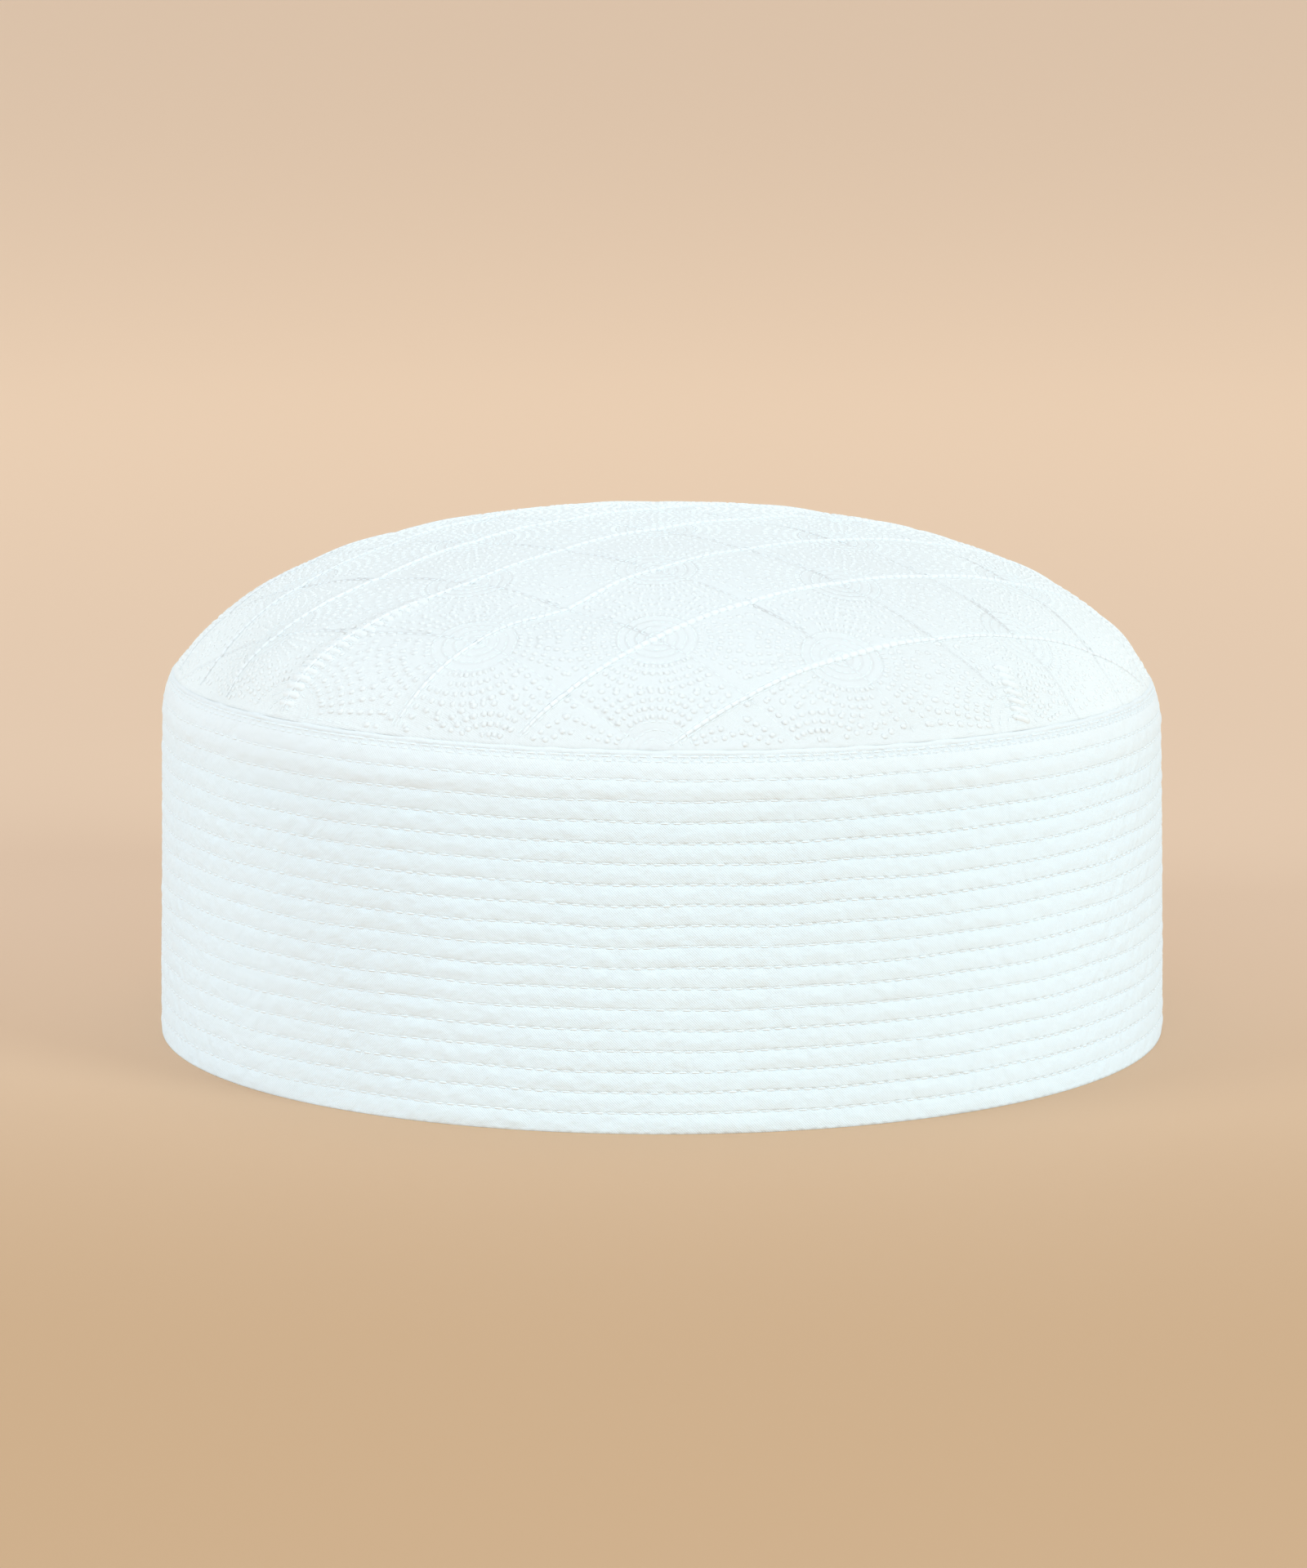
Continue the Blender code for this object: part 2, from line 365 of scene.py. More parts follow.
# White thread with a faint sheen, fuzzy at its own scale
def threadPaint(name, look):
    paint = Paint(name, look["colour"], {"Metallic": 0.0, "Sheen Weight": look["sheen"],
                                         "Specular IOR Level": 0.35})
    fibre = paint.noise(1.0 / look["fibre"], 2.0)
    cloud = paint.noise(1.0 / look["cloudLength"], 1.0)
    shade = (*(part * look["shade"] for part in look["colour"]), 1.0)
    colour = paint.mix(cloud, shade, (*look["colour"], 1.0))
    roughness = fibre * look["rougher"] + look["roughness"]
    return paint.finish(colour, roughness, fibre, look["bump"], look["bumpDepth"])


# Puts a finished piece on the cap's one body, with its material, and hides the imported part that it stands
# for
def dress(piece, material, node=None):
    piece.data.materials.append(material)
    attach(piece, "root")
    if node:
        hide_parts(node)


bandCloth = {
    "ribs": 18,
    "wall": 0.0032,
    "relief": 0.00020,           # depth of a stitched groove
    "atSides": 0.5,              # the share of it left at the cap's two sides
    "uneven": 0.38,              # how much that depth comes and goes
    "fullness": 0.95,            # a rib's round: 1 is a sine, less is fuller with a sharper groove
    "around": 480,
    "ribSteps": (0.0, 0.05, 0.12, 0.22, 0.36, 0.50, 0.64, 0.78, 0.88, 0.95),
    "topSteps": (0.0, 0.08, 0.2, 0.35, 0.5, 0.65, 0.78, 0.88, 0.96, 1.02, 1.08, 1.12, 1.16, 1.19, 1.21),
    "topRise": 0.0006,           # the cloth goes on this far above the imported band, up to the piping
    "topRound": 0.0004,          # its edge is rounded over this height
    "topSewn": 0.0009,           # and it is sewn down this far below its edge
    "topSewnDeep": 0.5,          # by this share of a groove's depth
    "topEdgeDeep": 0.8,          # and its rounded edge turns in by this share
    "wobble": 0.00012,           # how far a rib wanders up and down
    "lump": 0.00008,             # how far the wall wanders in and out
    "pull": 0.00009,             # short drag lines across the ribs
    "insideRows": 7,
    "insideCloth": 2.1,          # the cloth coordinates of the inside end at this many band heights
    # for each unevenness: its seed, how many waves, how many times they go round, how much they slant
    "unevenWaves": (6, 12, (9, 70), 500.0),
    "wobbleWaves": (5, 9, (2, 26), 260.0),
    "lumpWaves": (3, 9, (2, 14), 180.0),
    "pullWaves": (4, 10, (60, 150), 700.0),
    # over what share of the height it sets in at the rim, and dies out at the top
    "lumpFade": (0.02, 0.03),
    "wobbleFade": (0.08, 0.08),
}
bandCloth["top"] = 1 + bandCloth["topRise"] / bandHeight


# 0 at the rim and the top and 1 between, rising over a share of the height at each
def fadeEnds(share, low, high):
    return np.clip(share / low, 0, 1) * np.clip((1 - share) / high, 0, 1)


# Radius of the band's outside: straight wall, less the groove's depth where the rib's round runs out.
# The round is a power of a half sine over each rib. The top rib stays full up to the row that sews it down
# under its rounded edge
def ribRadius(share, turn):
    phase = share * bandCloth["ribs"] - np.clip(np.floor(share * bandCloth["ribs"]), 0, bandCloth["ribs"] - 1)
    height = share * bandHeight
    down = (bandCloth["top"] - share) * bandHeight
    sewnIn = bandCloth["topSewnDeep"] * np.exp(-((down - bandCloth["topSewn"]) / bandCloth["topRound"]) ** 2)
    edge = np.clip(1 - down / bandCloth["topRound"], 0, 1)
    rounded = np.abs(np.sin(math.pi * phase)) ** bandCloth["fullness"]
    full = np.where(share > 1 - 0.5 / bandCloth["ribs"], 1.0 - sewnIn, rounded)
    full = full - bandCloth["topEdgeDeep"] * (1 - np.sqrt(1 - 0.99 * edge ** 2))  # nearly a quarter circle
    free = fadeEnds(share, *bandCloth["lumpFade"])
    lump = bandCloth["lump"] * unevenRound(turn, height, *bandCloth["lumpWaves"])
    pull = bandCloth["pull"] * unevenRound(turn, height, *bandCloth["pullWaves"])
    comesAndGoes = free * bandCloth["uneven"] * unevenRound(turn, height, *bandCloth["unevenWaves"])
    sides = bandCloth["atSides"] + (1 - bandCloth["atSides"]) * np.sin(turn) ** 2
    depth = bandCloth["relief"] * (1 + comesAndGoes) * sides
    return bandRadius(share) - depth * (1 - full) + free * (lump + pull * full)


# Height of a place on the band, with the ribs wandering a little between the rim and the top
def ribHeight(share, turn):
    free = fadeEnds(share, *bandCloth["wobbleFade"])
    wander = unevenRound(turn, share * bandHeight, *bandCloth["wobbleWaves"])
    return share * bandHeight + free * bandCloth["wobble"] * wander


# A ring of the ribbed profile, closed over its top, down its plain inside and under the rim
def makeBand():
    ribs, steps = bandCloth["ribs"], np.array(bandCloth["ribSteps"])
    turn = np.linspace(0, 2 * math.pi, bandCloth["around"], endpoint=False)[None]
    lower = ((np.arange(ribs - 1)[:, None] + steps) / ribs).ravel()
    upper = (ribs - 1 + np.array(bandCloth["topSteps"])) / ribs
    outside = np.concatenate((lower, upper, [bandCloth["top"]]))[:, None]
    inside = np.linspace(1.0, 0.0, bandCloth["insideRows"])[:, None]
    radius = np.vstack((ribRadius(outside, turn), bandRadius(inside) - bandCloth["wall"] + 0 * turn))
    height = np.vstack((ribHeight(outside, turn), inside * bandHeight + 0 * turn))
    onward = (bandCloth["insideCloth"] - inside[:, 0]) * bandHeight
    across = np.concatenate((outside[:, 0] * bandHeight, onward))[:, None]
    wayAcross = bandCloth["insideCloth"] * bandHeight + bandCloth["wall"]
    return makeRing("band_cloth", radius, turn, height, rimRadius, across, wayAcross)


bandStitches = {
    "pitch": 0.0022,
    "length": 0.0017,
    "width": 0.00032,
    "height": 0.00024,
    "lift": 0.00001,
    "topRows": (-0.0003, 0.0005),  # two rows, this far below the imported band's top
    "topPitch": 0.0015,          # of their needle holes
    "stray": 0.05,               # how far a stitch is out of its place, as a share of the pitch
    "sizes": (0.85, 1.15),
    "seed": 11,
}


# Rows of stitches round the band: one in each groove, and two under the piping
def makeBandStitches():
    ribs = bandCloth["ribs"]
    rows = np.append(np.arange(1, ribs) / ribs, 1 - np.array(bandStitches["topRows"]) / bandHeight)
    count = round(2 * math.pi * rimRadius / bandStitches["pitch"])
    draw = np.random.default_rng(bandStitches["seed"])
    begin = draw.uniform(0, 1, len(rows))[:, None] + np.arange(count)
    begin = begin + draw.normal(0, bandStitches["stray"], (len(rows), count))
    step = 2 * math.pi / count
    share = rows[:, None] + 0 * begin
    half = step * bandStitches["length"] / bandStitches["pitch"] / 2

    def at(turn):
        radius = ribRadius(share, turn) + bandStitches["lift"]
        return roundAbout(radius, turn, ribHeight(share, turn)).reshape(-1, 3)

    turn = begin * step
    normals = np.stack((np.cos(turn), np.sin(turn), 0 * turn), -1).reshape(-1, 3)
    size = draw.uniform(*bandStitches["sizes"], turn.size)
    return makeGrains("band_stitching", at(turn - half), at(turn + half), normals,
                      bandStitches["width"] * size, bandStitches["height"] * size)


pipingFold = {
    "diameter": 0.0013,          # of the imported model's ring
    "plump": 0.0001,             # the cloth is this much fuller
    "lowered": 0.0003,           # and is pressed this far down between the band and the crown
    "inset": 0.0002,             # and this far in
    "around": 420,
    "section": 14,
    "lump": 0.00007,
    "lumpWaves": (21, 12, (8, 90)),
    "slant": 0.02,               # how far the drag lines turn over the section
}


# A ring of round section on the band's top edge, with faint slanting drag lines
def makePiping():
    turn = np.linspace(0, 2 * math.pi, pipingFold["around"], endpoint=False)[None]
    angle = np.linspace(0, 2 * math.pi, pipingFold["section"], endpoint=False)[:, None]
    half = pipingFold["diameter"] / 2
    slanted = turn + pipingFold["slant"] * angle
    uneven = pipingFold["lump"] * unevenRound(slanted, 0 * angle, *pipingFold["lumpWaves"])
    size = half + pipingFold["plump"] - pipingFold["lump"] + uneven
    radius = edgeRadius - half - pipingFold["plump"] - pipingFold["inset"] + size * np.cos(angle)
    height = bandHeight + form["gap"] + half - pipingFold["lowered"] + size * np.sin(angle)
    return makeRing("piping_fold", radius, turn, height, edgeRadius, half * angle, 2 * math.pi * half)


# The embroidery's drawing on the flat cloth: a lattice of diamonds and a rosette on every second crossing
lattice = {
    "across": 0.0327,            # from a rosette to the next, left to right and front to back
    "along": 0.0268,
    "right": -0.0010,            # the middle rosette's place
    "back": 0.0082,
    "ringPitch": 0.00175,        # from ring to ring of a rosette
    "sewnRings": 4,              # rings of thread; rays of puffed cloth go on from them
    "outerRings": 12,
    "rays": 44,
    "columns": (-4, 5),          # the rosettes that are looked for, counted from the middle one
    "rows": (-5, 5),
    "beyond": 0.022,             # one whose middle is this far outside the cloth still reaches onto it
}
lineSpacing = 1 / math.hypot(1 / lattice["across"], 1 / lattice["along"])

# Where the hand-laid cloth is pulled out of the even drawing: the place, how far to the right and back, and
# over what reach
pulls = (
    {"u": -0.0337, "v": -0.0722, "right": 0.0015, "back": 0.0037, "reach": 0.011},
    {"u": -0.0174, "v": -0.0588, "right": 0.0006, "back": -0.0030, "reach": 0.008},
    {"u": 0.0644, "v": -0.0722, "right": 0.0041, "back": 0.0020, "reach": 0.013},
    {"u": -0.0668, "v": -0.0608, "right": -0.0072, "back": 0.0088, "reach": 0.016},
)

# Two stretches of the lines that stand up as a puffed crest, crossed by the rosettes' rings: from a place,
# going right and back, over a width
crests = (
    {"u": -0.0664, "v": -0.0722, "right": 0.027, "back": 0.0221, "width": 0.0016, "rise": 0.00035},
    {"u": 0.0644, "v": -0.0722, "right": -0.0057, "back": 0.0145, "width": 0.0016, "rise": 0.00035},
)
crestEnds = 0.006                # each sets in and dies out over this length
crestShare = 0.25                # a place is taken to be on a crest where its bell curve is above this

# A broad fullness over the dome's right side
fullSide = {"u": 0.080, "v": -0.010, "reach": 0.018, "rise": 0.0007}


# Where a point of the even drawing lies on the cloth: each pull moves what is near its place, by a bell curve
def sewn(u, v):
    x, y = u, v
    for pull in pulls:
        near = np.exp(-((u - pull["u"]) ** 2 + (v - pull["v"]) ** 2) / (2 * pull["reach"] ** 2))
        x, y = x + pull["right"] * near, y + pull["back"] * near
    return x, y


# The drawing's point at a place of the cloth, found by repeating the step above
def drawn(x, y):
    u, v = x, y
    for _ in range(9):
        sewnX, sewnY = sewn(u, v)
        u, v = u + x - sewnX, v + y - sewnY
    return u, v


# Which line of one family a place is at, whole numbers being the sewn lines: side is 1 for those down to the
# right, -1 for those up to it. It takes arrays and shader values alike
def lineNumber(u, v, side):
    return (u - lattice["right"]) / lattice["across"] + side * (v - lattice["back"]) / lattice["along"]


# Distance to the nearest line of that family
def toLine(u, v, side):
    line = lineNumber(u, v, side)
    return (line - np.round(line)) * lineSpacing


# A crest's length and the direction that it goes in
def crestWay(crest):
    length = math.hypot(crest["right"], crest["back"])
    return length, crest["right"] / length, crest["back"] / length


# How far along a crest a place is, how far to its side, and the crest's length, of arrays or shader values
def besideCrest(crest, u, v):
    length, alongU, alongV = crestWay(crest)
    du, dv = u - crest["u"], v - crest["v"]
    return du * alongU + dv * alongV, dv * alongU - du * alongV, length


# How much a place is on a crest: a bell curve across it, and a soft start and end along it
def onCrest(u, v):
    total, rise = 0.0, 0.0
    for crest in crests:
        along, aside, length = besideCrest(crest, u, v)
        ends = np.clip((along + crestEnds) / crestEnds, 0, 1) * np.clip((length - along) / crestEnds, 0, 1)
        share = ends * np.exp(-(aside / crest["width"]) ** 2)
        total, rise = total + share, rise + share * crest["rise"]
    return total, rise


crownCloth = {
    "cells": 272,                # across the flat cloth
    "wall": 0.0022,
    "over": 0.00005,             # the edge turns under this far above the piping
    "hemDepth": 0.0050,          # the seam allowance inside the band
    "hemWall": 0.0016,
    "insideRings": 8,
    "sink": 0.00045,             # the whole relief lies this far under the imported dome
    "puff": 0.00016,             # how far a diamond's middle stands over its edges
    "lump": 0.00007,
    "cordBase": 0.00012,         # the soft foot of the raised cords
    "cordBaseWidth": 0.0012,
    "creaseDepth": 0.00022,      # the stitched creases
    "creaseWidth": 0.0007,
    "seamFade": 0.0030,          # the relief dies out over the last of the cloth
    "turnUnder": ((0.00005, 0.00030), (0.00045, 0.00060)),  # its edge goes in and down by these
    "footDown": 0.0008,          # then under to the piping's foot, and down to the band
    "footIn": 0.0001,
    "underStep": 0.001,          # cloth coordinates from loop to loop of the underside
    "lumpSeed": 31,
}


# Relief of the crown's cloth: diamonds puffed between the lines, a soft foot under each raised cord, a
# valley along each crease, the two crests and slow lumps
def crownRelief(u, v):
    cord, crease = toLine(u, v, -1), toLine(u, v, 1)
    middle = np.cos(math.pi * cord / lineSpacing) * np.cos(math.pi * crease / lineSpacing)
    raised = crownCloth["cordBase"] * np.exp(-(cord / crownCloth["cordBaseWidth"]) ** 2)
    valley = crownCloth["creaseDepth"] * np.exp(-(crease / crownCloth["creaseWidth"]) ** 2)
    fromSide = (u - fullSide["u"]) ** 2 + (v - fullSide["v"]) ** 2
    base = fullSide["rise"] * np.exp(-fromSide / (2 * fullSide["reach"] ** 2)) - crownCloth["sink"]
    return (base + crownCloth["puff"] * (1 - middle ** 2) + raised - valley
            + onCrest(u, v)[1] + crownCloth["lump"] * unevenFlat(u, v, crownCloth["lumpSeed"]))


# Height over the band's top and flat distance from the middle at which the crown turns under
edgeRise = form["gap"] + pipingFold["diameter"] - pipingFold["lowered"] + crownCloth["over"]
edgeArc = float(np.interp(-edgeRise, -domeRise, domeArc))


# A point of the drawing on the finished crown
def onCrown(u, v, lift):
    x, y = sewn(u, v)
    fade = np.clip((edgeArc - np.hypot(x, y)) / crownCloth["seamFade"], 0, 1)
    return onDome(x, y, crownRelief(u, v) * fade + lift)


# A square grid drawn out to a disc, each square ring becoming a round one
def discGrid(cells, radius):
    side = np.linspace(-1, 1, cells + 1)
    a, b = np.meshgrid(side, side)
    flatter = np.abs(a) > np.abs(b)
    reach = np.where(flatter, a, b)
    safe = np.where(reach == 0, 1.0, reach)
    angle = np.where(flatter, math.pi / 4 * b / safe, math.pi / 2 - math.pi / 4 * a / safe)
    return radius * reach * np.cos(angle), radius * reach * np.sin(angle)


# The outside is a grid on the dome. From its edge, rings go over the piping, onto the band, down inside it
# as the seam allowance, and back up the dome's inside to its pole
def makeCrown():
    cells = crownCloth["cells"]
    x, y = discGrid(cells, edgeArc)
    u, v = drawn(x, y)
    numbers = np.arange((cells + 1) ** 2).reshape(cells + 1, cells + 1)
    rim = np.concatenate((numbers[0, :-1], numbers[:-1, -1], numbers[-1, :0:-1], numbers[:0:-1, 0]))
    turn = np.arctan2(y.ravel()[rim], x.ravel()[rim])

    start = float(np.interp(edgeArc, domeArc, domeRadius))
    foot = edgeRadius - pipingFold["diameter"] - form["gap"]
    hem = edgeRadius - bandCloth["wall"] - form["gap"]
    inner, hemFoot = hem - crownCloth["hemWall"], -crownCloth["hemDepth"]
    insideRadius = domeRadius - crownCloth["wall"] * np.sin(domeSlope)
    insideRise = domeRise - crownCloth["wall"] * np.cos(domeSlope)
    loops = [(start - inward, edgeRise - down) for inward, down in crownCloth["turnUnder"]]
    loops += [(foot, edgeRise - crownCloth["footDown"]), (foot - crownCloth["footIn"], form["gap"]),
              (hem, form["gap"]), (hem, hemFoot), (inner, hemFoot)]
    flat = [edgeArc + crownCloth["underStep"] * (index + 1) for index in range(len(loops))]
    reach = float(np.interp(inner, insideRadius, domeArc))
    for ring in range(crownCloth["insideRings"]):
        along = reach * (1 - ring / crownCloth["insideRings"])
        loops.append((np.interp(along, domeArc, insideRadius), np.interp(along, domeArc, insideRise)))
        flat.append(along)
    radius, rise, flat = np.array(loops)[:, :1], np.array(loops)[:, 1:], np.array(flat)[:, None]

    under = roundAbout(radius, turn[None], bandHeight + rise + 0 * turn[None])
    pole = np.array([[0.0, 0.0, bandHeight + insideRise[0]]])
    points = np.vstack((onCrown(u, v, 0.0).reshape(-1, 3), under.reshape(-1, 3), pole))
    underUv = np.stack((flat * np.cos(turn), flat * np.sin(turn)), -1).reshape(-1, 2)
    uv = np.vstack((np.stack((u, v), -1).reshape(-1, 2), underUv, np.zeros((1, 2))))
    rings = np.vstack((rim, (cells + 1) ** 2 + np.arange(radius.size * len(rim)).reshape(-1, len(rim))))
    last = rings[-1]
    fan = np.stack((last, np.full(len(last), len(points) - 1), np.roll(last, -1)), -1)
    quads = np.vstack((gridQuads(numbers), gridQuads(rings, False, True)[:, ::-1]))
    return makePiece("crown_cloth", points, quads, fan, uv)


cords = {
    "width": 0.0009,
    "height": 0.0005,
    "lift": 0.00003,
    "step": 0.0012,
    "section": 8,
    "taper": 0.0080,
    "tip": 0.1,                  # its first ring has the size of this share of a step in from its end
    "uneven": 0.22,              # how much their thickness comes and goes
    "unevenSeed": 45,
    "margin": 0.0007,            # kept clear of the crown's edge
    "lines": 6,                  # looked for on each side of the middle one
    "reach": 0.115,              # and this far to each end
    "fewest": 6,                 # steps that make a cord
}


# The raised cords: a tube of flat oval section along each line that runs up to the right, narrowing to a
# point at the crown's edge
def makeCords():
    points, uvs, quads, fans = [], [], [], []
    place = np.arange(-cords["reach"], cords["reach"], cords["step"])
    right, back = lineSpacing / lattice["across"], -lineSpacing / lattice["along"]
    angle = 2 * math.pi * np.arange(cords["section"]) / cords["section"]
    first = 0
    for line in range(-cords["lines"], cords["lines"] + 1):
        u = lattice["right"] + right * lineSpacing * line - back * place
        v = lattice["back"] + back * lineSpacing * line + right * place
        inside = np.hypot(*sewn(u, v)) < edgeArc - cords["margin"]
        if inside.sum() < cords["fewest"]:
            continue
        u, v = u[inside], v[inside]
        middle, normal = onCrown(u, v, cords["lift"]), domeNormal(*sewn(u, v))
        across = np.cross(normal, np.gradient(middle, axis=0))
        across /= np.linalg.norm(across, axis=1, keepdims=True)
        index = np.arange(len(u))
        fromEnd = (np.minimum(index, len(u) - 1 - index) + cords["tip"]) * cords["step"]
        size = np.sqrt(np.clip(fromEnd / cords["taper"], 0, 1))[:, None, None]
        size = size * (1 + cords["uneven"] * unevenFlat(u, v, cords["unevenSeed"]))[:, None, None]
        tube = (middle[:, None] + across[:, None] * (np.cos(angle) * cords["width"] / 2)[None, :, None] * size
                + normal[:, None] * (np.sin(angle) * cords["height"] / 2)[None, :, None] * size)
        numbers = first + np.arange(tube.shape[0] * tube.shape[1]).reshape(tube.shape[:2])
        tips = numbers[-1, -1] + 1 + np.arange(2)
        points += [tube.reshape(-1, 3), middle[[0, -1]]]
        uvs += [np.repeat(np.stack((u, v), -1), cords["section"], 0), np.stack((u, v), -1)[[0, -1]]]
        quads.append(gridQuads(numbers, False, True)[:, ::-1])
        for ring, tip, way in ((numbers[0], tips[0], 1), (numbers[-1], tips[1], -1)):
            fans.append(np.stack((ring, np.roll(ring, -1), np.full(len(ring), tip)), -1)[:, ::-way])
        first = tips[-1] + 1
    return makePiece("crown_cords", np.vstack(points), np.vstack(quads), np.vstack(fans), np.vstack(uvs))


crownStitches = {
    "width": 0.00028,
    "height": 0.00018,
    "lift": 0.00001,
    "rowPitch": 0.0017,          # along the lattice's lines
    "rowLength": 0.0013,
    "cordSide": 0.00062,         # a row each side of a raised cord
    "rowSeeds": (41, 42),        # of the rows' places, and of their stitches' sizes
    "ringStep": 0.0014,          # from stitch to stitch round a ring
    "ringFewest": 6,
    "ringSeeds": (51, 52),
    "ringFill": 0.80,
    "ringStray": 0.00008,
    "ringLeft": 0.88,            # the share of a ring's stitches that is still there
    "margin": 0.0008,            # kept clear of the crown's edge
    "sizes": (0.8, 1.2),
    "lines": 8,                  # looked for on each side of the middle one
    "reach": 0.12,               # and this far to each end
}


# Grains on the crown, each given by the ends of its middle line on the drawing
def layGrains(name, u0, v0, u1, v1, width, height, seed, sides=5, ringAt=0.30):
    out = np.maximum(np.hypot(*sewn(u0, v0)), np.hypot(*sewn(u1, v1)))
    keep = out < edgeArc - crownStitches["margin"]
    u0, v0, u1, v1 = (part[keep] for part in (u0, v0, u1, v1))
    u, v = (u0 + u1) / 2, (v0 + v1) / 2
    size = np.random.default_rng(seed).uniform(*crownStitches["sizes"], len(u))
    width, height = np.broadcast_to(width, keep.shape)[keep], np.broadcast_to(height, keep.shape)[keep]
    lift = crownStitches["lift"]
    return makeGrains(name, onCrown(u0, v0, lift), onCrown(u1, v1, lift), domeNormal(*sewn(u, v)),
                      width * size, height * size, sides, np.stack((u, v), -1), ringAt)


# Rows along every line of the lattice: two beside each raised cord, one in each crease
def makeLatticeStitches():
    parts = []
    placeSeed, sizeSeed = crownStitches["rowSeeds"]
    draw = np.random.default_rng(placeSeed)
    for side, rows in ((-1, (-crownStitches["cordSide"], crownStitches["cordSide"])), (1, (0.0,))):
        right, back = lineSpacing / lattice["across"], side * lineSpacing / lattice["along"]
        lines = np.arange(-crownStitches["lines"], crownStitches["lines"] + 1)[:, None] * lineSpacing
        steps = np.arange(-crownStitches["reach"], crownStitches["reach"], crownStitches["rowPitch"])[None]
        half = crownStitches["rowLength"] / 2
        for row in rows:
            away = lines + row + 0 * steps
            place = steps + draw.uniform(0, crownStitches["rowPitch"], lines.shape) + 0 * lines
            u = lattice["right"] + right * away - back * place
            v = lattice["back"] + back * away + right * place
            ends = (u + back * half, v - right * half, u - back * half, v + right * half)
            parts.append(np.stack(ends, -1).reshape(-1, 4))
    ends, width, height = np.vstack(parts), crownStitches["width"], crownStitches["height"]
    return layGrains("crown_lattice_stitching", *ends.T, width, height, sizeSeed)


crestPuffs = {
    "length": 0.0054,            # across the crest
    "fill": 0.80,                # of the distance from ring to ring
    "height": 0.0015,
    "early": 0.003,              # the row swells from this far before its start
    "swell": 0.6,                # less is a fuller row with blunter ends
    "endLength": 0.45,           # at the row's ends, as a share of that in the middle
    "endHeight": 0.4,
    "sides": 12,
    "seed": 71,
}


# Puffs across each crest, parted from each other by the rosette's rings
def makeCrestPuffs():
    parts, sizes = [], []
    for crest in crests:
        length, alongU, alongV = crestWay(crest)
        place = (np.arange(1, int(length / lattice["ringPitch"])) + 0.5) * lattice["ringPitch"]
        passed = np.clip((place + crestPuffs["early"]) / (length + crestPuffs["early"]), 0, 1)
        share = np.sin(math.pi * passed) ** crestPuffs["swell"]
        half = crestPuffs["length"] * (crestPuffs["endLength"] + (1 - crestPuffs["endLength"]) * share) / 2
        u, v = crest["u"] + alongU * place, crest["v"] + alongV * place
        ends = (u - alongV * half, v + alongU * half, u + alongV * half, v - alongU * half)
        parts.append(np.stack(ends, -1))
        sizes.append(share)
    ends, share = np.vstack(parts), np.concatenate(sizes)
    width = crestPuffs["fill"] * lattice["ringPitch"] + 0 * share
    height = crestPuffs["height"] * (crestPuffs["endHeight"] + (1 - crestPuffs["endHeight"]) * share)
    return layGrains("crown_crest_puffs", *ends.T, width, height, crestPuffs["seed"], crestPuffs["sides"])


# The middles of the rosettes that reach onto the crown
def rosetteMiddles():
    column, row = np.meshgrid(np.arange(*lattice["columns"]), np.arange(*lattice["rows"]))
    u = lattice["right"] + column * lattice["across"]
    v = lattice["back"] + row * lattice["along"]
    near = np.hypot(u, v) < edgeArc + lattice["beyond"]
    return u[near][:, None], v[near][:, None]


# Whether a place is nearer to its own rosette than to another
def ownGround(du, dv):
    return (np.abs(du) < lattice["across"] / 2) & (np.abs(dv) < lattice["along"] / 2)


# Rings of running stitches about each rosette: the inner ones whole, the outer ones only over a crest
def makeRingStitches():
    middleU, middleV = rosetteMiddles()
    placeSeed, sizeSeed = crownStitches["ringSeeds"]
    draw = np.random.default_rng(placeSeed)
    parts = []
    for ring in range(1, lattice["outerRings"]):
        count = round(2 * math.pi * ring * lattice["ringPitch"] / crownStitches["ringStep"])
        count = max(crownStitches["ringFewest"], count)
        stray = draw.normal(0, crownStitches["ringStray"], (len(middleU), count))
        radius = ring * lattice["ringPitch"] + stray
        angle = (np.arange(count)[None] + draw.uniform(0, 1, middleU.shape)) * 2 * math.pi / count
        half = math.pi / count * crownStitches["ringFill"]
        du, dv = radius * np.cos(angle), radius * np.sin(angle)
        u, v = middleU + du, middleV + dv
        keep = (ownGround(du, dv) & ((ring <= lattice["sewnRings"]) | (onCrest(u, v)[0] > crestShare))
                & (draw.uniform(0, 1, u.shape) < crownStitches["ringLeft"]))
        ends = (middleU + radius * np.cos(angle - half), middleV + radius * np.sin(angle - half),
                middleU + radius * np.cos(angle + half), middleV + radius * np.sin(angle + half))
        parts.append(np.stack(ends, -1)[keep])
    ends, width, height = np.vstack(parts), crownStitches["width"], crownStitches["height"]
    return layGrains("crown_ring_stitching", *ends.T, width, height, sizeSeed)


rays = {
    "fill": 0.56,                # width of a ray over the distance to the next
    "widest": 0.0009,
    "length": 0.84,              # of the distance from ring to ring
    "height": 0.00028,
    "front": 0.035,              # from this far to the front of the flat cloth they grow
    "frontReach": 0.040,         # over this distance
    "frontGrowth": 0.6,          # by this share in height, and less in width
    "stray": 0.08,               # how far one is turned out of its place, as a share of the pitch
    "left": 0.94,                # the share that was sewn tight enough to show
    "clearOfCord": 0.0011,
    "clearOfCrease": 0.0008,
    "sides": 6,
    "ringAt": 0.18,              # how soon a ray slopes down to its ends
    "seeds": (61, 62),           # of their places, and of their sizes
}


